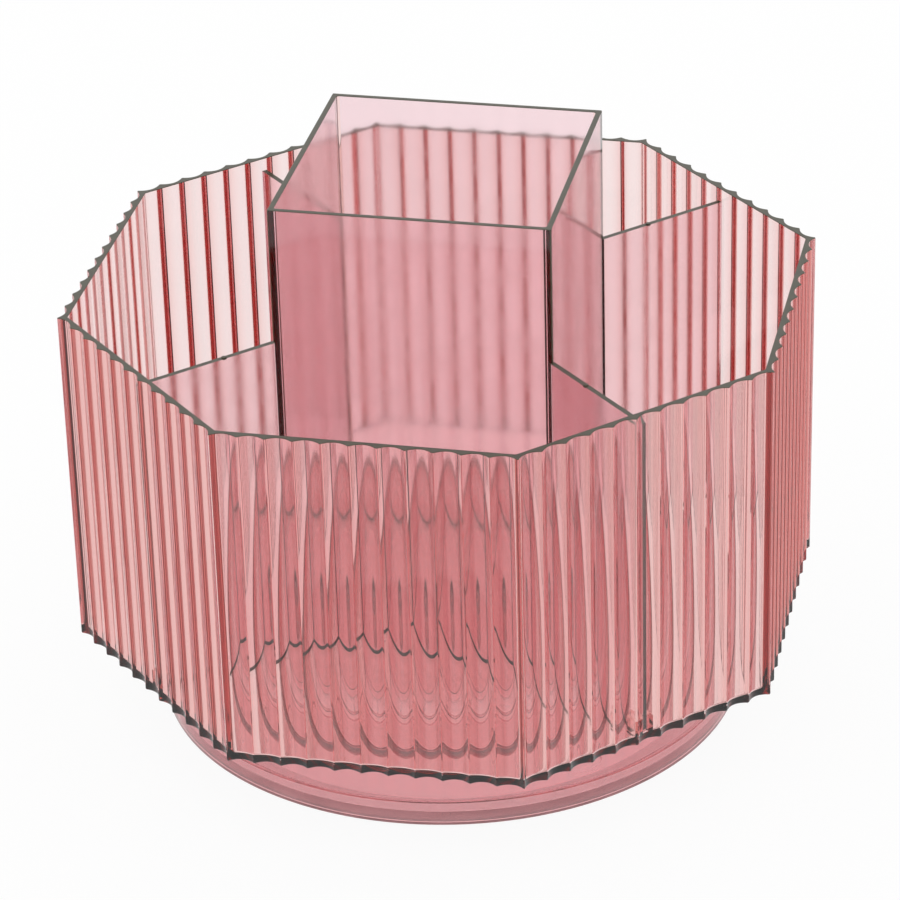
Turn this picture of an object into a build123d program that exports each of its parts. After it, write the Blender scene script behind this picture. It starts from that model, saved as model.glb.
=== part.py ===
from build123d import *

import os
from math import cos, radians, sin, sqrt, tan

os.makedirs("parts", exist_ok=True)

# Rotating pen holder in tinted clear plastic. A fluted octagonal tray turns on a round base with
# a ring of rollers, and a square cup with four dividers stands in it as a lift-out insert.
# Z is up, the origin is on the table under the turning axis, and the cup's front faces -Y.
# All sizes are in millimetres and degrees.

# Tray
SIDES = 8
TRAY_ACROSS = 156.0  # across two opposite sides, measured over the ridges between the flutes
TRAY_HEIGHT = 79.5  # underside to rim
TRAY_WALL = 1.0  # from the inner face to the bottom of a flute
TRAY_FLOOR = 1.2
FLUTES_PER_SIDE = 11
FLUTE_DEPTH = 1.1  # below the ridges
FLOOR_FILLET = 1.0  # where the walls meet the floor

# Guide ribs that hold the dividers' ends at the foot of the tray's wall
GUIDE_REACH = 2.4
GUIDE_THICK = 1.4
GUIDE_HEIGHT = 4.0
GUIDE_CLEARANCE = 0.25  # each side of a divider

# Insert: square cup, open at its foot, and four dividers
CUP_ACROSS = 61.0
CUP_HEIGHT = 106.7
CUP_WALL = 1.2
CUP_CORNER = 0.6  # inner upright corners
DIVIDER_THICK = 1.2
DIVIDER_DROP = 2.9  # below the tray's rim
DIVIDER_CLEARANCE = 0.3  # from a divider's end to the tray's wall

# Base
BASE_RADIUS = 65.8
BASE_HEIGHT = 18.4
BASE_WALL = 2.8
BASE_DECK = 2.8
BASE_EDGE = 0.8  # bevel of the deck's outer edge
TURN_GAP = 1.8  # from the deck to the tray's underside

# Bottom plate, in a rebate of the base's wall
REBATE = 0.8
PLATE_THICK = 2.0
PLATE_RIM_HEIGHT = 4.8
PLATE_RIM_THICK = 1.6
PLATE_CLEARANCE = 0.1

# Rubber feet, each in a shallow pocket of the bottom plate
FOOT_RADIUS = 5.0
FOOT_CIRCLE_RADIUS = 50.0
FOOT_POCKET = 1.0
FOOT_PROUD = 0.8
FOOT_CLEARANCE = 0.15

# Roller ring: small rollers in a cage, between a flat track in the deck and one in the tray
ROLLER_DIAMETER = 2.2
ROLLER_LENGTH = 4.2
ROLLER_COUNT = 8
ROLLER_PLAY = 0.1  # between a roller and a track
TRACK_RADIUS = 50.0  # to the middle of the tracks
TRACK_WIDTH = 9.0
TRACK_THICK = 0.4
TRACK_CLEARANCE = 0.1
CAGE_WIDTH = 6.6
CAGE_THICK = 0.8
POCKET_CLEARANCE = 0.15  # each side of a roller

# Centre pivot
HUB_RADIUS = 4.0
HUB_EDGE = 0.5
BUSH_WALL = 1.2
BUSH_FLANGE_REACH = 1.6
BUSH_FLANGE_THICK = 0.6
BOSS_WALL = 2.0
BOSS_DEPTH = 12.0
RUNNING_CLEARANCE = 0.05
SEAT_CLEARANCE = 0.05
END_PLAY = 0.3
WASHER_RADIUS = 6.4
WASHER_THICK = 0.8
SCREW_RADIUS = 1.5
SCREW_LENGTH = 10.0  # of the shank above the washer
SCREW_HOLE_CLEARANCE = 0.05
WASHER_HOLE_CLEARANCE = 0.3
SCREW_HEAD_RADIUS = 2.9
SCREW_HEAD_HEIGHT = 1.8
SCREW_HEAD_EDGE = 0.7
SCREW_SLOT_WIDTH = 0.7
SCREW_SLOT_LENGTH = 3.0
SCREW_SLOT_DEPTH = 1.0

# Heights above the table
base_z = FOOT_PROUD
deck_z = base_z + BASE_HEIGHT
tray_z = deck_z + TURN_GAP
floor_z = tray_z + TRAY_FLOOR
rim_z = tray_z + TRAY_HEIGHT
roller_z = tray_z - ROLLER_PLAY - ROLLER_DIAMETER / 2
boss_z = deck_z - BOSS_DEPTH
hub_z = boss_z - END_PLAY
divider_z = rim_z - DIVIDER_DROP

# Plan sizes
ridge_apothem = TRAY_ACROSS / 2
inner_apothem = ridge_apothem - FLUTE_DEPTH - TRAY_WALL
side_angle = 360 / SIDES
flute_pitch = TRAY_ACROSS * tan(radians(side_angle / 2)) / FLUTES_PER_SIDE
track_inner = TRACK_RADIUS - TRACK_WIDTH / 2
track_outer = TRACK_RADIUS + TRACK_WIDTH / 2
track_reach = ROLLER_DIAMETER / 2 + ROLLER_PLAY  # from a roller's axis to a track's face
lower_track_z = roller_z - track_reach - TRACK_THICK
upper_track_z = roller_z + track_reach
plate_radius = BASE_RADIUS - BASE_WALL + REBATE - PLATE_CLEARANCE
bush_inner = HUB_RADIUS + RUNNING_CLEARANCE
bush_outer = bush_inner + BUSH_WALL
boss_bore = bush_outer + SEAT_CLEARANCE
boss_radius = boss_bore + BOSS_WALL
screw_hole = SCREW_RADIUS + SCREW_HOLE_CLEARANCE
cup_inside = CUP_ACROSS - 2 * CUP_WALL
divider_end = inner_apothem - DIVIDER_CLEARANCE
cup_corner = CUP_ACROSS / sqrt(2)

# The four diagonal directions, which the dividers and the feet share
DIAGONALS = {"front_left": 225, "front_right": 315, "back_right": 45, "back_left": 135}


def save(part, name):
    """Label a finished piece and write it as one STEP file."""
    part.label = name
    export_step(part, f"parts/{name}.step")


def upright_plane(angle):
    """Give the upright plane through the turning axis whose X runs outwards at the angle."""
    outward = (cos(radians(angle)), sin(radians(angle)), 0)
    across = (sin(radians(angle)), -cos(radians(angle)), 0)
    return Plane(origin=(0, 0, 0), x_dir=outward, z_dir=across)


# Base drum: deck, wall with a rebate for the bottom plate, seat for the lower track, pivot boss
with BuildPart() as base_drum:
    with BuildSketch(Plane.XY.offset(base_z)):
        Circle(BASE_RADIUS)
    extrude(amount=BASE_HEIGHT)
    chamfer(base_drum.faces().sort_by(Axis.Z)[-1].edges(), BASE_EDGE)
    with BuildSketch(Plane.XY.offset(base_z)):
        Circle(BASE_RADIUS - BASE_WALL)
    extrude(amount=BASE_HEIGHT - BASE_DECK, mode=Mode.SUBTRACT)
    with BuildSketch(Plane.XY.offset(base_z)):
        Circle(plate_radius + PLATE_CLEARANCE)
    extrude(amount=PLATE_RIM_HEIGHT, mode=Mode.SUBTRACT)
    with BuildSketch(Plane.XY.offset(deck_z)):
        Circle(track_outer + TRACK_CLEARANCE)
        Circle(track_inner - TRACK_CLEARANCE, mode=Mode.SUBTRACT)
    extrude(amount=-(deck_z - lower_track_z), mode=Mode.SUBTRACT)
    with BuildSketch(Plane.XY.offset(deck_z)):
        Circle(boss_radius)
    extrude(amount=-BOSS_DEPTH)
    with BuildSketch(Plane.XY.offset(deck_z)):
        Circle(boss_bore)
    extrude(amount=-BOSS_DEPTH, mode=Mode.SUBTRACT)
save(base_drum.part, "base_drum")

# Bottom plate: disc with an upstand rim that seats against the rebate, and four foot pockets
with BuildPart() as base_plate:
    with BuildSketch(Plane.XY.offset(base_z)):
        Circle(plate_radius)
    extrude(amount=PLATE_RIM_HEIGHT)
    with BuildSketch(Plane.XY.offset(base_z + PLATE_THICK)):
        Circle(plate_radius - PLATE_RIM_THICK)
    extrude(amount=PLATE_RIM_HEIGHT - PLATE_THICK, mode=Mode.SUBTRACT)
    with BuildSketch(Plane.XY.offset(base_z)):
        with PolarLocations(FOOT_CIRCLE_RADIUS, len(DIAGONALS), start_angle=min(DIAGONALS.values())):
            Circle(FOOT_RADIUS + FOOT_CLEARANCE)
    extrude(amount=FOOT_POCKET, mode=Mode.SUBTRACT)
save(base_plate.part, "base_plate")

# Rubber feet
for place, angle in DIAGONALS.items():
    foot_centre = (FOOT_CIRCLE_RADIUS * cos(radians(angle)), FOOT_CIRCLE_RADIUS * sin(radians(angle)), 0)
    with BuildPart() as foot:
        with BuildSketch(Plane(origin=foot_centre)):
            Circle(FOOT_RADIUS)
        extrude(amount=FOOT_PROUD + FOOT_POCKET)
    save(foot.part, f"foot_{place}")

# Tracks: two flat rings, one seated in the deck and one in the tray's underside
for name, track_z in (("lower_track", lower_track_z), ("upper_track", upper_track_z)):
    with BuildPart() as track:
        with BuildSketch(Plane.XY.offset(track_z)):
            Circle(track_outer)
            Circle(track_inner, mode=Mode.SUBTRACT)
        extrude(amount=TRACK_THICK)
    save(track.part, name)

# Roller cage: thin ring with a pocket for each roller
with BuildPart() as roller_cage:
    with BuildSketch(Plane.XY.offset(roller_z - CAGE_THICK / 2)):
        Circle(TRACK_RADIUS + CAGE_WIDTH / 2)
        Circle(TRACK_RADIUS - CAGE_WIDTH / 2, mode=Mode.SUBTRACT)
        with PolarLocations(TRACK_RADIUS, ROLLER_COUNT):
            Rectangle(
                ROLLER_LENGTH + 2 * POCKET_CLEARANCE,
                ROLLER_DIAMETER + 2 * POCKET_CLEARANCE,
                mode=Mode.SUBTRACT,
            )
    extrude(amount=CAGE_THICK)
save(roller_cage.part, "roller_cage")

# Rollers, their axes pointing at the turning axis
with BuildPart() as rollers:
    with Locations((0, 0, roller_z)):
        with PolarLocations(TRACK_RADIUS, ROLLER_COUNT):
            Cylinder(ROLLER_DIAMETER / 2, ROLLER_LENGTH, rotation=(0, 90, 0))
save(rollers.part, "rollers")

# Pivot bush: flanged sleeve in the base's boss
with BuildPart() as pivot_bush:
    with BuildSketch(Plane.XY.offset(boss_z)):
        Circle(bush_outer)
    extrude(amount=BOSS_DEPTH)
    with BuildSketch(Plane.XY.offset(deck_z)):
        Circle(bush_outer + BUSH_FLANGE_REACH)
    extrude(amount=BUSH_FLANGE_THICK)
    with BuildSketch(Plane.XY.offset(boss_z)):
        Circle(bush_inner)
    extrude(amount=BOSS_DEPTH + BUSH_FLANGE_THICK, mode=Mode.SUBTRACT)
save(pivot_bush.part, "pivot_bush")

with BuildPart() as pivot_washer:
    with BuildSketch(Plane.XY.offset(hub_z)):
        Circle(WASHER_RADIUS)
        Circle(SCREW_RADIUS + WASHER_HOLE_CLEARANCE, mode=Mode.SUBTRACT)
    extrude(amount=-WASHER_THICK)
save(pivot_washer.part, "pivot_washer")

# Pivot screw: pan head with a cross slot, shank up into the tray's hub
with BuildPart() as pivot_screw:
    with BuildSketch(Plane.XY.offset(hub_z - WASHER_THICK)):
        Circle(SCREW_RADIUS)
    extrude(amount=SCREW_LENGTH + WASHER_THICK)
    with BuildSketch(Plane.XY.offset(hub_z - WASHER_THICK)):
        Circle(SCREW_HEAD_RADIUS)
    extrude(amount=-SCREW_HEAD_HEIGHT)
    chamfer(pivot_screw.faces().sort_by(Axis.Z)[0].edges(), SCREW_HEAD_EDGE)
    with BuildSketch(Plane.XY.offset(hub_z - WASHER_THICK - SCREW_HEAD_HEIGHT)):
        Rectangle(SCREW_SLOT_LENGTH, SCREW_SLOT_WIDTH)
        Rectangle(SCREW_SLOT_WIDTH, SCREW_SLOT_LENGTH)
    extrude(amount=SCREW_SLOT_DEPTH, mode=Mode.SUBTRACT)
save(pivot_screw.part, "pivot_screw")

# Tray: fluted outside, flat inside. Each flute is a channel, scooped by an arc between two sharp
# ridges, and the eight corners of the octagon are ridges too.
with BuildPart() as tray_shell:
    with BuildSketch(Plane.XY.offset(tray_z)):
        with BuildLine():
            for side in range(SIDES):
                turn = side * side_angle
                for flute in range(FLUTES_PER_SIDE):
                    across = (flute - FLUTES_PER_SIDE / 2) * flute_pitch
                    start = Vector(ridge_apothem, across).rotate(Axis.Z, turn)
                    middle = Vector(ridge_apothem - FLUTE_DEPTH, across + flute_pitch / 2)
                    end = Vector(ridge_apothem, across + flute_pitch).rotate(Axis.Z, turn)
                    ThreePointArc(start, middle.rotate(Axis.Z, turn), end)
        make_face()
    extrude(amount=TRAY_HEIGHT)
    with BuildSketch(Plane.XY.offset(floor_z)):
        RegularPolygon(inner_apothem, SIDES, major_radius=False, rotation=side_angle / 2)
    extrude(amount=TRAY_HEIGHT - TRAY_FLOOR, mode=Mode.SUBTRACT)
    fillet(tray_shell.edges().filter_by_position(Axis.Z, floor_z, floor_z), FLOOR_FILLET)
    guide_length = GUIDE_REACH + TRAY_WALL / 2
    guide_spacing = DIVIDER_THICK + 2 * GUIDE_CLEARANCE + GUIDE_THICK
    with BuildSketch(Plane.XY.offset(floor_z - TRAY_FLOOR / 2)):
        with PolarLocations(
            inner_apothem - GUIDE_REACH + guide_length / 2,
            len(DIAGONALS),
            start_angle=min(DIAGONALS.values()),
        ):
            with GridLocations(0, guide_spacing, 1, 2):
                Rectangle(guide_length, GUIDE_THICK)
    extrude(amount=GUIDE_HEIGHT + TRAY_FLOOR / 2)
    with BuildSketch(Plane.XY.offset(tray_z)):
        Circle(track_outer + TRACK_CLEARANCE)
        Circle(track_inner - TRACK_CLEARANCE, mode=Mode.SUBTRACT)
    extrude(amount=upper_track_z + TRACK_THICK - tray_z, mode=Mode.SUBTRACT)
    with BuildSketch(Plane.XY.offset(tray_z)):
        Circle(HUB_RADIUS)
    extrude(amount=-(tray_z - hub_z))
    chamfer(tray_shell.faces().sort_by(Axis.Z)[0].edges(), HUB_EDGE)
    with BuildSketch(Plane.XY.offset(hub_z)):
        Circle(screw_hole)
    extrude(amount=SCREW_LENGTH, mode=Mode.SUBTRACT)
save(tray_shell.part, "tray_shell")

# Square cup of the insert, a tube that stands on the tray's floor
with BuildPart() as pen_cup:
    with BuildSketch(Plane.XY.offset(floor_z)):
        Rectangle(CUP_ACROSS, CUP_ACROSS)
    extrude(amount=CUP_HEIGHT)
    with BuildSketch(Plane.XY.offset(floor_z)) as cup_hollow:
        Rectangle(cup_inside, cup_inside)
        fillet(cup_hollow.vertices(), CUP_CORNER)
    extrude(amount=CUP_HEIGHT, mode=Mode.SUBTRACT)
save(pen_cup.part, "pen_cup")

# Dividers: each plate runs from a corner of the cup, which its inner end is notched to fit, to
# the tray's wall, where its lower corner is cut off to clear the fillet of the floor.
for place, angle in DIAGONALS.items():
    with BuildPart() as divider:
        with BuildSketch(upright_plane(angle)):
            with BuildLine():
                Polyline(
                    (cup_corner - DIVIDER_THICK, floor_z),
                    (divider_end - FLOOR_FILLET, floor_z),
                    (divider_end, floor_z + FLOOR_FILLET),
                    (divider_end, divider_z),
                    (cup_corner - DIVIDER_THICK, divider_z),
                    close=True,
                )
            make_face()
        extrude(amount=DIVIDER_THICK / 2, both=True)
        with BuildSketch(Plane.XY.offset(floor_z)):
            Rectangle(CUP_ACROSS, CUP_ACROSS)
        extrude(amount=CUP_HEIGHT, mode=Mode.SUBTRACT)
    save(divider.part, f"divider_{place}")
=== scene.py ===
"""Looks of a rotating pen holder moulded in clear tinted plastic.

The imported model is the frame. Each visible moulding is built here again as a finer closed mesh in
the same place, with rounded edges, and every piece gets its finish. Sizes are in metres.
"""

import logging
import math
from dataclasses import dataclass
from enum import Enum
from typing import Iterable, Sequence

import bmesh
import bpy
from mathutils import Matrix, Vector


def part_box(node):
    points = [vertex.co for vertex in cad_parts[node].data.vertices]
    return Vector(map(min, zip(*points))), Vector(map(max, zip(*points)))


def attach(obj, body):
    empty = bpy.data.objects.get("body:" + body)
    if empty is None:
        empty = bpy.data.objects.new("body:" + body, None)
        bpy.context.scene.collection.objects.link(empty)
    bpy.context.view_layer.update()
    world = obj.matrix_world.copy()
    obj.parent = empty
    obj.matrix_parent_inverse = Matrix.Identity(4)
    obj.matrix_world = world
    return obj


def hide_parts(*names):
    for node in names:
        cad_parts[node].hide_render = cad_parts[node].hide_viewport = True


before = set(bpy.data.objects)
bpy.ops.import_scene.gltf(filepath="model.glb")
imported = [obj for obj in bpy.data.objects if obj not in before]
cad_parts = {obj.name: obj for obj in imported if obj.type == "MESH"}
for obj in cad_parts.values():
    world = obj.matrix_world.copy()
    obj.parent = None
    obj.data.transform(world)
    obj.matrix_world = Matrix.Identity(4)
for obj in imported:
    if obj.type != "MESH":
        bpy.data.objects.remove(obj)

LOG = logging.getLogger("pen_holder")

MM = 0.001
ARC_STEPS = 4
TRACK_SEAT_INNER = 45.4 * MM
TRACK_SEAT_OUTER = 54.6 * MM
FOOT_CIRCLE = 50 * MM
PLASTIC_BEND = 1.57
WHITE = (1.0, 1.0, 1.0, 1.0)
NOISE = "ShaderNodeTexNoise"

# A face is level where the upright part of its normal is above this.
LEVEL = 0.9999
# A face leans some way where that part of its normal is above this.
LEANING = 0.1

Point = tuple[float, float, float]
Colour = tuple[float, float, float]
Span = tuple[float, float]
Socket = int | str
Values = dict[str, object]
Ring = list[bmesh.types.BMVert]
Band = list[bmesh.types.BMFace]
Node = bpy.types.Node
Object = bpy.types.Object
Material = bpy.types.Material


class Surface(Enum):
    """Which of a moulding's finishes a face carries; the value is the material slot.

    The base has a frosted finish in the slot where the other mouldings have their edge with painted
    shade.
    """

    BODY = 0
    # EDGE, CREST and END are the faces that carry painted shade.
    EDGE = 1
    FROSTED = 1
    CREST = 2
    END = 3


class Diagonal(Enum):
    """The four diagonal directions of the organiser, in degrees from +X."""

    front_left = 225
    front_right = 315
    back_right = 45
    back_left = 135

    @property
    def turn(self) -> Matrix:
        """Rotation that carries +X into this direction."""
        return Matrix.Rotation(math.radians(self.value), 4, "Z")

    def at(self, distance: float) -> Matrix:
        """Placement in this direction, at a distance from the axis."""
        return self.turn @ Matrix.Translation((distance, 0, 0))


class Shell:
    """A closed mesh that is put together from rings of points."""

    def __init__(self) -> None:
        """Start with no points."""
        self.mesh = bmesh.new()

    def ring(self, points: Iterable[Point]) -> Ring:
        """Add a ring of points.

        Args:
            points: the ring's points, anticlockwise seen from above.

        Returns:
            The new vertices, in the same order.
        """
        return [self.mesh.verts.new(point) for point in points]

    def bridge(self, first: Ring, second: Ring, surface: Surface = Surface.BODY) -> Band:
        """Join two rings of the same count with a band of quads.

        Args:
            first: the ring that the band starts from.
            second: the ring that the band ends at.
            surface: the finish of the band.

        Returns:
            The band's faces, the first of which follows the rings' first point.
        """
        band = []
        for here, start in enumerate(first):
            there = (here + 1) % len(first)
            face = self.mesh.faces.new((start, first[there], second[there], second[here]))
            face.material_index = surface.value
            band.append(face)
        return band

    def cap(self, ring: Ring, surface: Surface = Surface.BODY) -> None:
        """Close a ring with one flat face.

        Args:
            ring: the ring to close.
            surface: the finish of the face.
        """
        face = self.mesh.faces.new(ring)
        face.material_index = surface.value

    def fan(self, ring: Ring, tip: Point, surface: Surface = Surface.BODY) -> None:
        """Close a ring with triangles that meet in a point.

        Args:
            ring: the ring to close.
            tip: where the triangles meet.
            surface: the finish of the triangles.
        """
        centre = self.mesh.verts.new(tip)
        for here, start in enumerate(ring):
            face = self.mesh.faces.new((start, ring[(here + 1) % len(ring)], centre))
            face.material_index = surface.value

    def build(self, name: str) -> Object:
        """Make the object.

        Args:
            name: the name of the piece.

        Returns:
            The new object, linked to the scene.
        """
        bmesh.ops.recalc_face_normals(self.mesh, faces=self.mesh.faces)
        if self.mesh.calc_volume(signed=True) < 0:
            bmesh.ops.reverse_faces(self.mesh, faces=self.mesh.faces)
        data = bpy.data.meshes.new(name)
        self.mesh.to_mesh(data)
        self.mesh.free()
        piece = bpy.data.objects.new(name, data)
        bpy.context.scene.collection.objects.link(piece)
        return piece


@dataclass(frozen=True)
class Corner:
    """A corner of a section: its distance from the axis, its height and its edge's rounding."""

    radius: float
    height: float
    rounding: float = 0.0
    surface: Surface = Surface.BODY


def rounded_section(corners: Sequence[Corner]) -> list[Corner]:
    """Replace the corners of a closed section that have a rounding by points along an arc.

    Args:
        corners: the section's corners in order round it.

    Returns:
        The section's points, each with the finish of the stretch that follows it.
    """
    points: list[Corner] = []
    for index, corner in enumerate(corners):
        if corner.rounding <= 0:
            points.append(corner)
            continue
        here = Vector((corner.radius, corner.height))
        before = corners[index - 1]
        after = corners[(index + 1) % len(corners)]
        back = (Vector((before.radius, before.height)) - here).normalized()
        ahead = (Vector((after.radius, after.height)) - here).normalized()
        half = back.angle(ahead) / 2
        reach = corner.rounding / math.tan(half)
        centre = here + (back + ahead).normalized() * corner.rounding / math.sin(half)
        start = here + back * reach - centre
        end = here + ahead * reach - centre
        sweep = start.angle_signed(end)
        for step in range(ARC_STEPS + 1):
            turned = Matrix.Rotation(-sweep * step / ARC_STEPS, 2) @ start + centre
            points.append(Corner(turned.x, turned.y, surface=corner.surface))
    return points


def quarter_turn(steps: int) -> list[float]:
    """Angles from nought to a quarter turn, in equal steps."""
    return [math.pi / 2 * step / steps for step in range(steps + 1)]


def rounding(radius: float, steps: int) -> list[tuple[float, float]]:
    """Walk over a rounded edge.

    Args:
        radius: the edge's rounding.
        steps: spans in its arc.

    Returns:
        Pairs of distances, of which the first grows from nought to the radius in the shape of the
        arc while the second shrinks to nought.
    """
    return [
        (radius * (1 - math.cos(angle)), radius * (1 - math.sin(angle)))
        for angle in quarter_turn(steps)
    ]


def circle(radius: float, height: float, count: int) -> list[Point]:
    """Points of a level circle about the turning axis.

    Args:
        radius: the circle's radius.
        height: its height.
        count: how many points.

    Returns:
        The points, anticlockwise from +X.
    """
    angles = [math.tau / count * index for index in range(count)]
    return [(radius * math.cos(angle), radius * math.sin(angle), height) for angle in angles]


def turned_solid(name: str, corners: Sequence[Corner], count: int) -> Object:
    """Turn a section about the axis into a closed solid.

    Args:
        name: the name of the piece.
        corners: the section, which is closed, or open where its first and last points are on the axis.
        count: points in each circle.

    Returns:
        The new object.
    """
    solid = Shell()
    add_turned(solid, corners, count)
    return solid.build(name)


def add_turned(solid: Shell, corners: Sequence[Corner], count: int, place: Matrix = Matrix()) -> None:
    """Turn a section about an axis and add it to a mesh.

    Args:
        solid: the mesh that it's added to.
        corners: the section, which is closed, or open where its first and last points are on the axis.
        count: points in each circle.
        place: where the axis is carried from +Z at the origin.
    """
    section = rounded_section(corners)
    tips = [point for point in section if point.radius <= 0]
    around = [point for point in section if point.radius > 0]
    rings = [
        solid.ring(place @ Vector(spot) for spot in circle(point.radius, point.height, count))
        for point in around
    ]
    for index, (first, second) in enumerate(zip(rings, rings[1:])):
        solid.bridge(first, second, around[index].surface)
    if tips:
        solid.fan(rings[0], place @ Vector((0.0, 0.0, tips[0].height)), tips[0].surface)
        solid.fan(rings[-1], place @ Vector((0.0, 0.0, tips[-1].height)), around[-1].surface)
    else:
        solid.bridge(rings[-1], rings[0], around[-1].surface)


def add_block(solid: Shell, low: Point, high: Point, place: Matrix = Matrix()) -> None:
    """Add a box to a mesh.

    Args:
        solid: the mesh that it's added to.
        low: the box's lowest corner.
        high: its highest corner.
        place: where it is carried.
    """
    foot = ((low[0], low[1]), (high[0], low[1]), (high[0], high[1]), (low[0], high[1]))
    rings = [solid.ring(place @ Vector((x, y, z)) for x, y in foot) for z in (low[2], high[2])]
    solid.bridge(*rings)
    solid.cap(rings[0])
    solid.cap(rings[1])


def combine(piece: Object, tool: Object, operation: str) -> None:
    """Fuse a tool to a piece or cut it away, and delete the tool.

    Args:
        piece: the piece that is changed.
        tool: the closed mesh to add or take away.
        operation: UNION or DIFFERENCE.
    """
    boolean = piece.modifiers.new("combine", "BOOLEAN")
    boolean.operation = operation
    boolean.object = tool
    boolean.solver = "MANIFOLD"
    graph = bpy.context.evaluated_depsgraph_get()
    result = bpy.data.meshes.new_from_object(piece.evaluated_get(graph))
    piece.modifiers.remove(boolean)
    piece.data = result
    bpy.data.objects.remove(tool)


def smooth(piece: Object, sharp: float = 32.0) -> None:
    """Shade a piece smooth, but for its level faces and the edges that turn by more than an angle.

    Args:
        piece: the piece to shade.
        sharp: the angle in degrees.
    """
    mesh = bmesh.new()
    mesh.from_mesh(piece.data)
    for edge in mesh.edges:
        edge.smooth = len(edge.link_faces) == 2 and edge.calc_face_angle(0.0) < math.radians(sharp)
    for face in mesh.faces:
        face.smooth = abs(face.normal.z) < LEVEL
    mesh.to_mesh(piece.data)
    mesh.free()
    weighted = piece.modifiers.new("weighted_normals", "WEIGHTED_NORMAL")
    weighted.keep_sharp = True


class Recipe:
    """A material in the making: its tree of nodes, its skin and its output."""

    def __init__(self, name: str, values: Values) -> None:
        """Start the material.

        Args:
            name: the material's name.
            values: what the skin's inputs are set to.
        """
        self.made = bpy.data.materials.new(name)
        self.made.use_nodes = True
        self.tree = self.made.node_tree
        self.skin = self.tree.nodes["Principled BSDF"]
        self.output = self.tree.nodes["Material Output"]
        self.fill(self.skin, values)

    def fill(self, node: Node, values: Values) -> None:
        """Set a node's inputs by their names."""
        for name, value in values.items():
            node.inputs[name].default_value = value

    def node(self, kind: str, values: Values | None = None) -> Node:
        """Add a node.

        Args:
            kind: the node's type.
            values: what its inputs are set to.

        Returns:
            The new node.
        """
        node = self.tree.nodes.new(kind)
        self.fill(node, values or {})
        return node

    def link(self, source: Node, output: Socket, target: Node, entry: Socket) -> None:
        """Link an output of one node to an input of another."""
        self.tree.links.new(source.outputs[output], target.inputs[entry])

    def pattern(self, kind: str, values: Values) -> Node:
        """Add a texture that is laid out in the piece's own space.

        Args:
            kind: the texture's type.
            values: what its inputs are set to.

        Returns:
            The texture's node.
        """
        texture = self.node(kind, values)
        self.link(self.node("ShaderNodeTexCoord"), "Object", texture, "Vector")
        return texture

    def roughen(self, texture: Node, output: str, polish: Span, span: Span = (0.0, 1.0)) -> None:
        """Let the skin's roughness follow a texture.

        Args:
            texture: the texture's node.
            output: the output that is followed.
            polish: the skin's least and greatest roughness.
            span: the texture's values that give them.
        """
        limits = {"From Min": span[0], "From Max": span[1], "To Min": polish[0], "To Max": polish[1]}
        gloss = self.node("ShaderNodeMapRange", limits)
        self.link(texture, output, gloss, "Value")
        self.link(gloss, "Result", self.skin, "Roughness")

    def blend(self, first: Sequence[float], second: Sequence[float]) -> Node:
        """Colour the skin by a blend of two colours.

        Args:
            first: the colour where the blend's factor is 0.
            second: the colour where it is 1.

        Returns:
            The blend's node, which still needs its factor.
        """
        shade = self.node("ShaderNodeMix")
        shade.data_type = "RGBA"
        shade.inputs["A"].default_value = (*first, 1.0)
        shade.inputs["B"].default_value = (*second, 1.0)
        self.link(shade, "Result", self.skin, "Base Color")
        return shade

    def calculation(self, operation: str) -> Node:
        """Add a node that puts two numbers together by an operation."""
        node = self.node("ShaderNodeMath")
        node.operation = operation
        return node


@dataclass(frozen=True)
class ClearPlastic:
    """Clear plastic that is tinted in its depth and polished on its skin.

    The absorption is per metre of red, green and blue, and the headroom keeps each share of the
    volume's colour above nought. The haze spreads the skin's roughness over the polish. The flow
    is the height of the faint waves that moulding leaves in a surface.
    """

    name: str
    absorption: Colour
    bend: float = PLASTIC_BEND
    polish: Span = (0.0, 0.012)
    haze_scale: float = 140.0
    haze_detail: float = 3.0
    haze_span: Span = (0.35, 0.75)
    flow: float = 0.012 * MM
    flow_scale: float = 38.0
    flow_detail: float = 1.0
    headroom: float = 1.25

    def material(self) -> Material:
        """Make the material: a coloured body under a slightly uneven skin."""
        recipe = Recipe(self.name, {"Transmission Weight": 1.0, "IOR": self.bend, "Base Color": WHITE})
        haze = recipe.pattern(NOISE, {"Scale": self.haze_scale, "Detail": self.haze_detail})
        recipe.roughen(haze, "Fac", self.polish, self.haze_span)
        waves = recipe.pattern(NOISE, {"Scale": self.flow_scale, "Detail": self.flow_detail})
        bump = recipe.node("ShaderNodeBump", {"Distance": self.flow})
        recipe.link(waves, "Fac", bump, "Height")
        recipe.link(bump, "Normal", recipe.skin, "Normal")
        density = self.headroom * max(self.absorption)
        colour = (*(1 - share / density for share in self.absorption), 1.0)
        body = recipe.node("ShaderNodeVolumeAbsorption", {"Color": colour, "Density": density})
        recipe.link(body, "Volume", recipe.output, "Volume")
        return recipe.made


@dataclass(frozen=True)
class PaintedShadeEdge:
    """Cut or moulded edge, painted dark and greenish as shade where light is caught inside it."""

    name: str = "painted_shade_edge"
    # The colour is painted shade.
    colour: Colour = (0.055, 0.05, 0.03)
    depth: Span = (0.7, 1.5)
    roughness: float = 0.3
    grain_scale: float = 300.0
    grain_detail: float = 2.0

    def material(self) -> Material:
        """Make the material: an opaque polished edge painted dark as shade, a little uneven along its
        length.
        """
        recipe = Recipe(self.name, {"Roughness": self.roughness})
        grain = recipe.pattern(NOISE, {"Scale": self.grain_scale, "Detail": self.grain_detail})
        deep, pale = ([depth * share for share in self.colour] for depth in self.depth)
        recipe.link(grain, "Fac", recipe.blend(deep, pale), "Factor")
        return recipe.made


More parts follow.
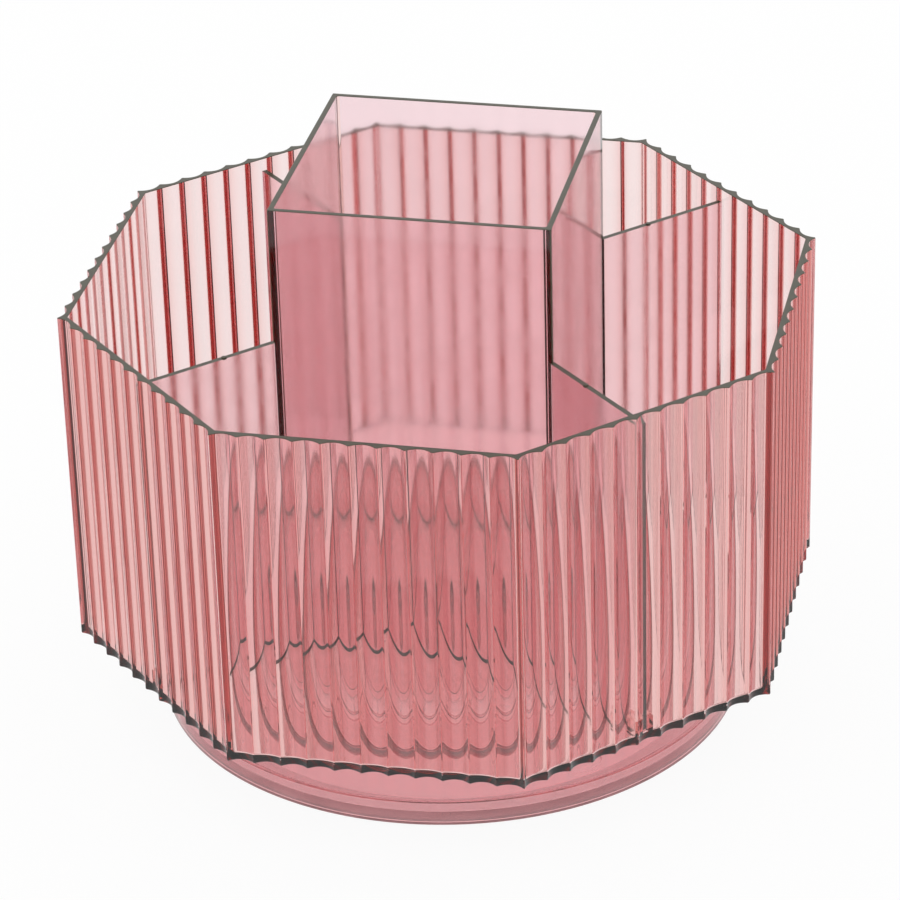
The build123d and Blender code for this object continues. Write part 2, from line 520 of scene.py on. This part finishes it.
@dataclass(frozen=True)
class OneSidedPaintedShade:
    """Edge that is clear from one side and painted dark as shade from the other, where light runs off
    inside it.
    """

    name: str
    from_inside: bool
    clear: Colour = (0.88, 0.5, 0.48)
    # dark is the painted shade.
    dark: Colour = (0.05, 0.02, 0.015)
    bend: float = PLASTIC_BEND
    polish: Span = (0.02, 0.08)
    grain_scale: float = 260.0

    def material(self) -> Material:
        """Make the material: glass whose tint depends on the side that it's met from, with painted
        shade on the dark side.
        """
        recipe = Recipe(self.name, {"Transmission Weight": 1.0, "IOR": self.bend})
        outer, inner = (self.clear, self.dark) if self.from_inside else (self.dark, self.clear)
        shade = recipe.blend(outer, inner)
        recipe.link(recipe.node("ShaderNodeNewGeometry"), "Backfacing", shade, "Factor")
        recipe.link(shade, "Result", recipe.skin, "Specular Tint")
        grain = recipe.pattern(NOISE, {"Scale": self.grain_scale})
        recipe.roughen(grain, "Fac", self.polish)
        return recipe.made


@dataclass(frozen=True)
class PlatedSteel:
    """Zinc-plated steel with a faint spangle."""

    name: str = "plated_steel"
    colour: Colour = (0.46, 0.46, 0.48)
    sparkle: float = 1.25
    polish: Span = (0.22, 0.4)
    spangle_scale: float = 900.0

    def material(self) -> Material:
        """Make the material: bare metal whose gloss varies from grain to grain."""
        recipe = Recipe(self.name, {"Metallic": 1.0})
        grain = recipe.pattern("ShaderNodeTexVoronoi", {"Scale": self.spangle_scale})
        recipe.roughen(grain, "Distance", self.polish)
        bright = [self.sparkle * share for share in self.colour]
        recipe.link(grain, "Distance", recipe.blend(self.colour, bright), "Factor")
        return recipe.made


def dress(piece: Object, finishes: Sequence[Material], body: str) -> None:
    """Give a piece its finishes and its body.

    Args:
        piece: the piece.
        finishes: materials in the order of the surfaces' values.
        body: the moving body that carries the piece.
    """
    slots = piece.data.materials
    for index, finish in enumerate(finishes):
        if index < len(slots):
            slots[index] = finish
        else:
            slots.append(finish)
    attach(piece, body)
    LOG.info("%s rides on %s", piece.name, body)


@dataclass
class Tray:
    """Octagonal tray with eleven channels scooped in each side between sharp ridges, flat inside."""

    across: float = 156 * MM
    wall: float = 1.0 * MM
    floor: float = 1.2 * MM
    sides: int = 8
    flutes: int = 11
    flute_depth: float = 1.1 * MM
    flute_power: float = 2.0
    flute_steps: int = 14
    ridge_flat: float = 0.25 * MM
    floor_fillet: float = 0.6 * MM
    floor_centre: float = 60 * MM
    rim_round: float = 0.12 * MM
    foot_round: float = 0.3 * MM
    foot_band: float = 1.5 * MM
    edge_steps: int = 4
    guide_reach: float = 2.4 * MM
    guide_thick: float = 1.4 * MM
    guide_height: float = 4 * MM
    guide_spacing: float = 3.1 * MM
    recess_depth: float = 0.44 * MM
    hub_radius: float = 4 * MM
    hub_edge: float = 0.5 * MM
    screw_hole: float = 1.55 * MM
    screw_depth: float = 10 * MM
    underside: float = 21.0 * MM
    sharp: float = 30.0

    def __post_init__(self) -> None:
        """Read the rim's and the hub's heights from the frame, and work out the outline."""
        low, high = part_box("tray_shell")
        self.hub_foot = low.z
        self.rim = high.z
        self.pitch = self.across * math.tan(math.pi / self.sides) / self.flutes
        self.inner = self.across / 2 - self.flute_depth - self.wall
        self.line = self.outline()

    def outline(self) -> list[tuple[Vector, Vector]]:
        """Work out the fluted outline.

        Returns:
            For each point its place outside and its place on the inner face.
        """
        half = (self.pitch - self.ridge_flat) / 2
        ridge = self.across / 2
        points = []
        for side in range(self.sides):
            turn = Matrix.Rotation(math.tau * side / self.sides, 3, "Z")
            for flute in range(self.flutes):
                centre = (flute - (self.flutes - 1) / 2) * self.pitch
                for step in range(self.flute_steps + 1):
                    share = 2 * step / self.flute_steps - 1
                    along = centre + half * share
                    out = ridge - self.flute_depth * (1 - abs(share) ** self.flute_power)
                    outside = turn @ Vector((out, along, 0))
                    inside = turn @ Vector((self.inner, along * self.inner / ridge, 0))
                    points.append((outside, inside))
        return points

    def outer_ring(self, solid: Shell, inset: float, height: float) -> Ring:
        """Add a ring on the fluted face, drawn in by an inset."""
        share = 1 - inset / (self.across / 2)
        return solid.ring((*(outside * share).xy, height) for outside, _ in self.line)

    def inner_ring(self, solid: Shell, outset: float, height: float) -> Ring:
        """Add a ring on the inner face, drawn out by an outset."""
        share = 1 + outset / self.inner
        return solid.ring((*(inside * share).xy, height) for _, inside in self.line)

    def round_ring(self, solid: Shell, radius: float, height: float) -> Ring:
        """Add a circle whose points lie in the directions of the outline's points."""
        return solid.ring((*(outside.normalized() * radius).xy, height) for outside, _ in self.line)

    def underside_rings(self, solid: Shell) -> list[Ring]:
        """Add the rings below the floor, from the track's recess in to the screw's hole."""
        ceiling = self.underside + self.recess_depth
        steps = (
            (TRACK_SEAT_OUTER, self.underside),
            (TRACK_SEAT_OUTER, ceiling),
            (TRACK_SEAT_INNER, ceiling),
            (TRACK_SEAT_INNER, self.underside),
            (self.hub_radius, self.underside),
            (self.hub_radius, self.hub_foot + self.hub_edge),
            (self.hub_radius - self.hub_edge, self.hub_foot),
            (self.screw_hole, self.hub_foot),
            (self.screw_hole, self.hub_foot + self.screw_depth),
        )
        return [self.round_ring(solid, radius, height) for radius, height in steps]

    def shell(self) -> Object:
        """Build the tray as one closed moulding."""
        solid = Shell()
        rings: list[tuple[Ring, Surface]] = []
        for grown, left in rounding(self.foot_round, self.edge_steps):
            rings.append((self.outer_ring(solid, left, self.underside + grown), Surface.BODY))
        wall_foot = self.outer_ring(solid, 0.0, self.underside + self.foot_band)
        rings.append((wall_foot, Surface.BODY))
        # The rim's rounded edges carry painted shade.
        for grown, left in rounding(self.rim_round, self.edge_steps):
            rings.append((self.outer_ring(solid, grown, self.rim - left), Surface.EDGE))
        for grown, left in rounding(self.rim_round, self.edge_steps):
            surface = Surface.EDGE if left > 0 else Surface.BODY
            rings.append((self.inner_ring(solid, left, self.rim - grown), surface))
        base = self.underside + self.floor
        for grown, left in rounding(self.floor_fillet, self.edge_steps):
            rings.append((self.inner_ring(solid, -grown, base + left), Surface.BODY))
        rings.append((self.round_ring(solid, self.floor_centre, base), Surface.BODY))
        for (first, surface), (second, _) in zip(rings, rings[1:]):
            band = solid.bridge(first, second, surface)
            # The ridges' crests on the wall carry painted shade seen from inside.
            if first is wall_foot:
                for ridge in band[self.flute_steps::self.flute_steps + 1]:
                    ridge.material_index = Surface.CREST.value
        solid.cap(rings[-1][0])
        below = [rings[0][0], *self.underside_rings(solid)]
        for first, second in zip(below, below[1:]):
            solid.bridge(first, second)
        solid.cap(below[-1])
        return solid.build("tray_moulding")

    def guides(self) -> Object:
        """Build the eight guide ribs that hold the dividers' ends, as one tool to fuse."""
        solid = Shell()
        base = self.underside + self.floor
        for place in Diagonal:
            for side in (-0.5, 0.5):
                middle = side * self.guide_spacing
                near = middle - self.guide_thick / 2
                far = middle + self.guide_thick / 2
                low = (self.inner - self.guide_reach, near, base - self.floor / 2)
                high = (self.inner + self.wall / 2, far, base + self.guide_height)
                add_block(solid, low, high, place.turn)
        return solid.build("guides")

    def build(self, finishes: Sequence[Material]) -> None:
        """Build and dress the tray.

        Args:
            finishes: the materials of its body, its edge with painted shade and its ridges' crests,
                which carry painted shade seen from inside.
        """
        piece = self.shell()
        combine(piece, self.guides(), "UNION")
        smooth(piece, self.sharp)
        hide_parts("tray_shell")
        dress(piece, finishes, "tray")


@dataclass
class Insert:
    """Square pen cup with a divider bonded to each corner, which lifts out of the tray."""

    wall: float = 1.2 * MM
    inner_corner: float = 0.6 * MM
    outer_corner: float = 0.25 * MM
    edge: float = 0.12 * MM
    lift: float = 0.06 * MM
    thick: float = 1.2 * MM
    bond: float = 0.04 * MM
    toe: float = 1.0 * MM
    divider_end: float = 75.6 * MM
    foot_band: float = 0.6 * MM
    gate_place: float = 55.4 * MM
    gate_radius: float = 0.55 * MM
    gate_height: float = 0.25 * MM
    corner_steps: int = 6
    edge_steps: int = 3
    gate_points: int = 24

    def __post_init__(self) -> None:
        """Read the cup's and the dividers' outer sizes from the frame."""
        low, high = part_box("pen_cup")
        self.half = high.x
        self.foot = low.z
        self.top = high.z
        self.divider_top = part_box("divider_front_left")[1].z

    def square(self, half: float, corner: float) -> list[tuple[float, float]]:
        """Points of a square with rounded corners, anticlockwise.

        Args:
            half: half the square's width.
            corner: the radius of its corners.

        Returns:
            The points as pairs of x and y.
        """
        points = []
        middle = Vector((half - corner, half - corner))
        for quadrant in range(4):
            turn = Matrix.Rotation(math.tau * quadrant / 4, 2)
            for angle in quarter_turn(self.corner_steps):
                point = middle + Vector((math.cos(angle), math.sin(angle))) * corner
                points.append(tuple(turn @ point))
        return points

    def cup(self) -> Object:
        """Build the cup, a square tube, as one closed moulding."""
        solid = Shell()
        foot = self.foot + self.lift
        inside = self.half - self.wall
        rings: list[Ring] = []

        def add(half: float, corner: float, height: float) -> None:
            """Add a ring of the square's points at a height."""
            rings.append(solid.ring((x, y, height) for x, y in self.square(half, corner)))

        edge = rounding(self.edge, self.edge_steps)
        for grown, left in edge:
            add(self.half - left, self.outer_corner, foot + grown)
        add(self.half, self.outer_corner, foot + self.foot_band)
        for grown, left in edge:
            add(self.half - grown, self.outer_corner, self.top - left)
        for grown, left in edge:
            add(inside + left, self.inner_corner, self.top - grown)
        add(inside, self.inner_corner, foot + self.foot_band)
        for grown, left in edge:
            add(inside + grown, self.inner_corner, foot + left)
        for first, second in zip(rings, rings[1:] + rings[:1]):
            solid.bridge(first, second)
        self.mark_edges(solid)
        return solid.build("cup_moulding")

    def mark_edges(self, solid: Shell) -> None:
        """Give the cup's rim, foot and upright corners painted shade: dark on the rim, the foot and
        the outer corners, and dark from inside on the inner corners.

        Args:
            solid: the cup's mesh.
        """
        band_top = self.foot + self.lift + self.foot_band
        bmesh.ops.recalc_face_normals(solid.mesh, faces=solid.mesh.faces)
        for face in solid.mesh.faces:
            middle = face.calc_center_median()
            # Painted shade on the rim, the foot band and the outer corners; painted shade seen from
            # inside on the inner corners.
            if abs(face.normal.z) > LEANING or middle.z < band_top:
                face.material_index = Surface.EDGE.value
            elif min(abs(face.normal.x), abs(face.normal.y)) > LEANING:
                outside = face.normal.dot(middle) > 0
                face.material_index = (Surface.EDGE if outside else Surface.CREST).value

    def divider(self, place: Diagonal) -> Object:
        """Build one divider, notched over the cup's corner.

        Args:
            place: the direction it runs in.

        Returns:
            The new object.
        """
        solid = Shell()
        tip = self.half * math.sqrt(2) + self.bond
        side = self.thick / 2
        steps = (
            (self.foot + self.lift, self.divider_end - self.toe),
            (self.foot + self.foot_band, self.divider_end - self.toe + self.foot_band),
            (self.foot + self.toe, self.divider_end),
            (self.divider_top, self.divider_end),
        )
        rings = []
        for height, end in steps:
            corners = ((tip - side, -side), (end, -side), (end, side), (tip - side, side), (tip, 0.0))
            rings.append(solid.ring(place.turn @ Vector((x, y, height)) for x, y in corners))
        # The foot band and the caps carry painted shade, and the end carries painted shade seen from
        # outside.
        for first, second in zip(rings, rings[1:]):
            band = solid.bridge(first, second, Surface.EDGE if first is rings[0] else Surface.BODY)
            band[1].material_index = Surface.END.value
        solid.cap(rings[0], Surface.EDGE)
        solid.cap(rings[-1], Surface.EDGE)
        gate_foot = self.divider_top - self.gate_height
        gate_top = self.divider_top + self.gate_height
        # The gate nib carries the same painted shade.
        gate = [
            Corner(0.0, gate_foot, surface=Surface.EDGE),
            Corner(self.gate_radius, gate_foot, surface=Surface.EDGE),
            Corner(self.gate_radius, gate_top, self.gate_height / 2, Surface.EDGE),
            Corner(0.0, gate_top, surface=Surface.EDGE),
        ]
        add_turned(solid, gate, self.gate_points, place.at(self.gate_place))
        return solid.build(f"divider_plate_{place.name}")

    def build(self, finishes: Sequence[Material]) -> None:
        """Build and dress the cup and its dividers.

        Args:
            finishes: the materials of the body, the edge with painted shade, and the cup's inner
                corners and
            the dividers' ends, which carry painted shade seen from one side.
        """
        cup = self.cup()
        smooth(cup)
        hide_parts("pen_cup")
        dress(cup, finishes, "insert")
        for place in Diagonal:
            divider = self.divider(place)
            smooth(divider)
            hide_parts(f"divider_{place.name}")
            dress(divider, finishes, "insert")


@dataclass
class Base:
    """Round drum that stays still on the table, with its bottom plate."""

    wall: float = 2.8 * MM
    deck: float = 2.8 * MM
    edge: float = 0.3 * MM
    recess_depth: float = 1.04 * MM
    boss_bore: float = 5.3 * MM
    boss_radius: float = 7.3 * MM
    boss_depth: float = 12 * MM
    plate_rim: float = 1.6 * MM
    plate_thick: float = 2.0 * MM
    plate_clearance: float = 0.1 * MM
    fine_edge: float = 0.2 * MM
    frost_radius: float = 56 * MM
    pocket_radius: float = 5.15 * MM
    pocket_depth: float = 1.04 * MM
    around: int = 256
    pocket_points: int = 64

    def __post_init__(self) -> None:
        """Read the outer sizes from the frame."""
        low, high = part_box("base_drum")
        self.radius = high.x
        self.foot = low.z
        self.top = high.z
        plate_low, plate_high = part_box("base_plate")
        self.plate_radius = plate_high.x
        self.plate_foot = plate_low.z
        self.plate_top = plate_high.z

    def drum(self) -> Object:
        """Build the drum as one closed moulding."""
        rebate = self.plate_radius + self.plate_clearance
        inside = self.radius - self.wall
        ceiling = self.top - self.deck
        recess = self.top - self.recess_depth
        seat = self.plate_top + self.plate_clearance / 2
        corners = [
            Corner(self.radius, self.foot, self.fine_edge),
            Corner(self.radius, self.top, self.edge),
            Corner(TRACK_SEAT_OUTER, self.top),
            Corner(TRACK_SEAT_OUTER, recess),
            Corner(TRACK_SEAT_INNER, recess),
            Corner(TRACK_SEAT_INNER, self.top),
            Corner(self.boss_bore, self.top),
            Corner(self.boss_bore, self.top - self.boss_depth),
            Corner(self.boss_radius, self.top - self.boss_depth, self.fine_edge),
            Corner(self.boss_radius, ceiling, self.edge),
            Corner(inside, ceiling, self.edge),
            Corner(inside, seat),
            Corner(rebate, seat),
            Corner(rebate, self.foot, surface=Surface.FROSTED),
        ]
        return turned_solid("base_moulding", corners, self.around)

    def plate(self) -> Object:
        """Build the bottom plate with its four foot pockets."""
        inside = self.plate_radius - self.plate_rim
        floor = self.plate_foot + self.plate_thick
        corners = [
            Corner(0.0, self.plate_foot),
            Corner(self.frost_radius, self.plate_foot, surface=Surface.FROSTED),
            Corner(self.plate_radius, self.plate_foot, self.fine_edge),
            Corner(self.plate_radius, self.plate_top, self.fine_edge),
            Corner(inside, self.plate_top, self.fine_edge),
            Corner(inside, floor, self.edge),
            Corner(0.0, floor),
        ]
        plate = turned_solid("plate_moulding", corners, self.around)
        pocket_foot = self.plate_foot - self.pocket_depth
        pocket_top = self.plate_foot + self.pocket_depth
        pocket = [
            Corner(0.0, pocket_foot),
            Corner(self.pocket_radius, pocket_foot),
            Corner(self.pocket_radius, pocket_top),
            Corner(0.0, pocket_top),
        ]
        pockets = Shell()
        for place in Diagonal:
            add_turned(pockets, pocket, self.pocket_points, place.at(FOOT_CIRCLE))
        combine(plate, pockets.build("foot_pockets"), "DIFFERENCE")
        return plate

    def build(self, drum: Material, plate: Material, frosted: Material) -> None:
        """Build and dress the drum and the plate.

        Args:
            drum: the drum's material.
            plate: the plate's material.
            frosted: the material of the frosted ring underneath.
        """
        pieces = ((self.drum(), "base_drum", drum), (self.plate(), "base_plate", plate))
        for piece, node, body in pieces:
            smooth(piece)
            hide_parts(node)
            dress(piece, [body, frosted], "base")


@dataclass
class Feet:
    """Four soft pads under the bottom plate."""

    rounding: float = 0.4 * MM
    gap: float = 0.03 * MM
    around: int = 64

    def build(self, finish: Material) -> None:
        """Build and dress the pads.

        Args:
            finish: the soft pads' material.
        """
        for place in Diagonal:
            node = f"foot_{place.name}"
            low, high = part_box(node)
            radius = (high.x - low.x) / 2
            corners = [
                Corner(0.0, low.z),
                Corner(radius, low.z, self.rounding),
                Corner(radius, high.z - self.gap, self.rounding),
                Corner(0.0, high.z - self.gap),
            ]
            solid = Shell()
            add_turned(solid, corners, self.around, place.at(FOOT_CIRCLE))
            pad = solid.build(f"pad_{place.name}")
            smooth(pad)
            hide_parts(node)
            dress(pad, [finish], "base")


@dataclass
class Bearing:
    """Roller ring between two flat tracks, which carries the tray."""

    track_width: float = 9 * MM
    cage_width: float = 6.6 * MM
    circle: float = 50 * MM
    rollers: int = 8
    roller_length: float = 4.2 * MM
    roller_edge: float = 0.25 * MM
    pocket_clearance: float = 0.15 * MM
    edge: float = 0.08 * MM
    gap: float = 0.03 * MM
    around: int = 192
    roller_points: int = 48

    def turns(self) -> list[Matrix]:
        """Rotations that carry +X to each roller."""
        angles = [math.tau * index / self.rollers for index in range(self.rollers)]
        return [Matrix.Rotation(angle, 4, "Z") for angle in angles]

    def ring(self, name: str, node: str, width: float) -> Object:
        """Build a flat ring inside the box of its node.

        Args:
            name: the name of the piece.
            node: the node that it replaces.
            width: the ring's width.

        Returns:
            The new object.
        """
        low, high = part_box(node)
        outer = high.x
        inner = outer - width
        corners = [
            Corner(inner, low.z + self.gap, self.edge),
            Corner(outer, low.z + self.gap, self.edge),
            Corner(outer, high.z - self.gap, self.edge),
            Corner(inner, high.z - self.gap, self.edge),
        ]
        return turned_solid(name, corners, self.around)

    def cage(self) -> Object:
        """Build the cage with a pocket for each roller."""
        piece = self.ring("cage_ring", "roller_cage", self.cage_width)
        low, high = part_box("roller_cage")
        roller_low, roller_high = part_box("rollers")
        half = (roller_high.z - roller_low.z) / 2 + self.pocket_clearance
        reach = self.roller_length / 2 + self.pocket_clearance
        pockets = Shell()
        for turn in self.turns():
            corner = (self.circle - reach, -half, 2 * low.z - high.z)
            opposite = (self.circle + reach, half, 2 * high.z - low.z)
            add_block(pockets, corner, opposite, turn)
        combine(piece, pockets.build("roller_pockets"), "DIFFERENCE")
        return piece

    def roller_set(self) -> Object:
        """Build the rollers, their axes pointing at the turning axis."""
        low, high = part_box("rollers")
        radius = (high.z - low.z) / 2
        length = self.roller_length / 2
        corners = [
            Corner(0.0, -length),
            Corner(radius, -length, self.roller_edge),
            Corner(radius, length, self.roller_edge),
            Corner(0.0, length),
        ]
        seat = Matrix.Translation((self.circle, 0, (low.z + high.z) / 2))
        lying = Matrix.Rotation(math.pi / 2, 4, "Y")
        solid = Shell()
        for turn in self.turns():
            add_turned(solid, corners, self.roller_points, turn @ seat @ lying)
        return solid.build("roller_set")

    def build(self, track: Material, cage: Material, roller: Material) -> None:
        """Build and dress the tracks, the cage and the rollers.

        Args:
            track: the tracks' material.
            cage: the cage's material.
            roller: the rollers' material.
        """
        below = self.ring("track_below", "lower_track", self.track_width)
        above = self.ring("track_above", "upper_track", self.track_width)
        pieces = (
            (below, "lower_track", track, "base", "track_plastic"),
            (above, "upper_track", track, "tray", "track_plastic"),
            (self.cage(), "roller_cage", cage, "roller_ring", "cage_plastic"),
            (self.roller_set(), "rollers", roller, "roller_ring", "roller_plastic"),
        )
        for piece, node, finish, body, slot in pieces:
            smooth(piece)
            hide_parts(node)
            dress(piece, [finish], body)


@dataclass
class Pivot:
    """Bush, washer and screw that hold the tray's hub in the base."""

    bush_inner: float = 4.05 * MM
    bush_outer: float = 5.25 * MM
    flange_thick: float = 0.6 * MM
    washer_hole: float = 1.8 * MM
    shank_radius: float = 1.5 * MM
    head_height: float = 1.8 * MM
    head_round: float = 0.7 * MM
    slot_width: float = 0.7 * MM
    slot_length: float = 3.0 * MM
    slot_depth: float = 1.0 * MM
    edge: float = 0.1 * MM
    gap: float = 0.03 * MM
    around: int = 96
    screw_around: int = 64

    def bush(self) -> Object:
        """Build the flanged bush."""
        low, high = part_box("pivot_bush")
        deck = high.z - self.flange_thick
        corners = [
            Corner(self.bush_inner, low.z, self.edge),
            Corner(self.bush_outer, low.z, self.edge),
            Corner(self.bush_outer, deck + self.gap),
            Corner(high.x, deck + self.gap, self.edge),
            Corner(high.x, high.z, self.edge),
            Corner(self.bush_inner, high.z, self.edge),
        ]
        return turned_solid("bush_sleeve", corners, self.around)

    def washer(self) -> Object:
        """Build the washer."""
        low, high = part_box("pivot_washer")
        corners = [
            Corner(self.washer_hole, low.z, self.edge),
            Corner(high.x, low.z, self.edge),
            Corner(high.x, high.z - self.gap, self.edge),
            Corner(self.washer_hole, high.z - self.gap, self.edge),
        ]
        return turned_solid("washer_disc", corners, self.around)

    def screw(self) -> Object:
        """Build the pan-head screw with its cross slot."""
        low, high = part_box("pivot_screw")
        seat = low.z + self.head_height
        corners = [
            Corner(0.0, low.z),
            Corner(high.x, low.z, self.head_round),
            Corner(high.x, seat, self.edge),
            Corner(self.shank_radius, seat),
            Corner(self.shank_radius, high.z - self.gap, self.edge),
            Corner(0.0, high.z - self.gap),
        ]
        piece = turned_solid("screw_body", corners, self.screw_around)
        half = self.slot_length / 2
        side = self.slot_width / 2
        for reach_x, reach_y in ((half, side), (side, half)):
            corner = (-reach_x, -reach_y, low.z - self.slot_depth)
            opposite = (reach_x, reach_y, low.z + self.slot_depth)
            bit = Shell()
            add_block(bit, corner, opposite)
            combine(piece, bit.build("driver_bit"), "DIFFERENCE")
        return piece

    def build(self, bush: Material, steel: Material) -> None:
        """Build and dress the bush, the washer and the screw.

        Args:
            bush: the bush's material.
            steel: the washer's and the screw's material.
        """
        pieces = (
            (self.bush(), "pivot_bush", bush, "base", "bush_plastic"),
            (self.washer(), "pivot_washer", steel, "tray", "washer_steel"),
            (self.screw(), "pivot_screw", steel, "tray", "washer_steel"),
        )
        for piece, node, finish, body, slot in pieces:
            smooth(piece)
            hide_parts(node)
            dress(piece, [finish], body)


@dataclass
class Studio:
    """White floor and backdrop, soft light and the camera."""

    azimuth: float = math.radians(12.64)
    elevation: float = math.radians(28.88)
    roll: float = math.radians(-1.616)
    distance: float = 936.18 * MM
    lens: float = 168.57
    target: Point = (2.07 * MM, -5.56 * MM, 60.5 * MM)
    near: float = 0.05
    far: float = 50.0
    floor_radius: float = 3.0
    floor_points: int = 96
    floor_colour: Colour = (0.95, 0.95, 0.95)
    floor_roughness: float = 0.9
    shadow_share: float = 0.07
    bounces: int = 32

    def camera(self) -> None:
        """Place the camera where the photograph was taken from."""
        out = Vector((
            math.sin(self.azimuth) * math.cos(self.elevation),
            -math.cos(self.azimuth) * math.cos(self.elevation),
            math.sin(self.elevation),
        ))
        across = Vector((math.cos(self.azimuth), math.sin(self.azimuth), 0.0))
        level = Matrix((across, out.cross(across), out)).transposed()
        data = bpy.data.cameras.new("camera")
        data.lens = self.lens
        data.clip_start = self.near
        data.clip_end = self.far
        camera = bpy.data.objects.new("camera", data)
        tilt = Matrix.Rotation(self.roll, 3, "Z")
        place = Matrix.Translation(Vector(self.target) + out * self.distance)
        camera.matrix_world = place @ (level @ tilt).to_4x4()
        bpy.context.scene.collection.objects.link(camera)
        bpy.context.scene.camera = camera

    def world(self) -> None:
        """Make the white surroundings."""
        world = bpy.data.worlds.new("surroundings")
        world.use_nodes = True
        sky = world.node_tree.nodes["Background"]
        sky.inputs["Color"].default_value = WHITE
        sky.inputs["Strength"].default_value = 1.0
        bpy.context.scene.world = world

    def floor(self) -> None:
        """Lay the white floor, which keeps a faint shadow."""
        solid = Shell()
        solid.cap(solid.ring(circle(self.floor_radius, 0.0, self.floor_points)))
        floor = solid.build("floor")
        recipe = Recipe("white_floor", {
            "Base Color": (*self.floor_colour, 1.0),
            "Roughness": self.floor_roughness,
            "Specular IOR Level": 0.0,
        })
        glow = recipe.node("ShaderNodeEmission")
        path = recipe.node("ShaderNodeLightPath")
        seen = recipe.calculation("MAXIMUM")
        through = recipe.calculation("MAXIMUM")
        share = recipe.calculation("MULTIPLY")
        share.inputs[1].default_value = 1 - self.shadow_share
        mix = recipe.node("ShaderNodeMixShader")
        recipe.link(path, "Is Camera Ray", seen, 0)
        recipe.link(path, "Is Glossy Ray", seen, 1)
        recipe.link(seen, 0, through, 0)
        recipe.link(path, "Is Transmission Ray", through, 1)
        recipe.link(through, 0, share, 0)
        recipe.link(share, 0, mix, "Fac")
        recipe.link(recipe.skin, "BSDF", mix, 1)
        recipe.link(glow, "Emission", mix, 2)
        recipe.link(mix, "Shader", recipe.output, "Surface")
        floor.data.materials.append(recipe.made)

    def build(self) -> None:
        """Make the camera, the surroundings and the floor."""
        self.camera()
        self.world()
        self.floor()
        scene = bpy.context.scene
        scene.view_settings.view_transform = "Standard"
        scene.cycles.max_bounces = self.bounces
        scene.cycles.transmission_bounces = self.bounces
        scene.cycles.glossy_bounces = self.bounces


def main() -> None:
    """Build every piece in order."""
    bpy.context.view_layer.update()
    Studio().build()
    # The edge, crest and end finishes are painted shade.
    edge = PaintedShadeEdge().material()
    crest = OneSidedPaintedShade("painted_shade_crest", from_inside=True).material()
    end_face = OneSidedPaintedShade("painted_shade_end", from_inside=False).material()
    # The drum and the plate are rose plastic like the tray; the drum's tint is made deeper as painted
    # shade, and the plate's, which its frosted underside shares, paler as painted light.
    drum = ClearPlastic("clear_rose_drum_painted_shade", (78.0, 315.0, 298.0))
    plate = ClearPlastic("clear_rose_plate_painted_light", (6.0, 45.0, 42.0))
    frosted = ClearPlastic("frosted_rose_underside", (6.0, 45.0, 42.0), polish=(0.8, 0.95))
    Base().build(drum.material(), plate.material(), frosted.material())
    Tray().build([ClearPlastic("clear_rose_tray", (42.0, 184.0, 196.0)).material(), edge, crest])
    insert = ClearPlastic("clear_rose_insert", (44.0, 220.0, 187.0), polish=(0.06, 0.105))
    Insert().build([insert.material(), edge, crest, end_face])
    track = ClearPlastic("clear_track", (20.0, 90.0, 95.0)).material()
    natural = ClearPlastic("natural_plastic", (4.0, 8.0, 9.0), bend=1.48).material()
    Bearing().build(track, natural, natural)
    Pivot().build(natural, PlatedSteel().material())
    Feet().build(ClearPlastic("soft_clear_pad", (6.0, 9.0, 10.0), bend=1.43).material())


if __name__ == "__main__":
    logging.basicConfig(level=logging.INFO)
    main()
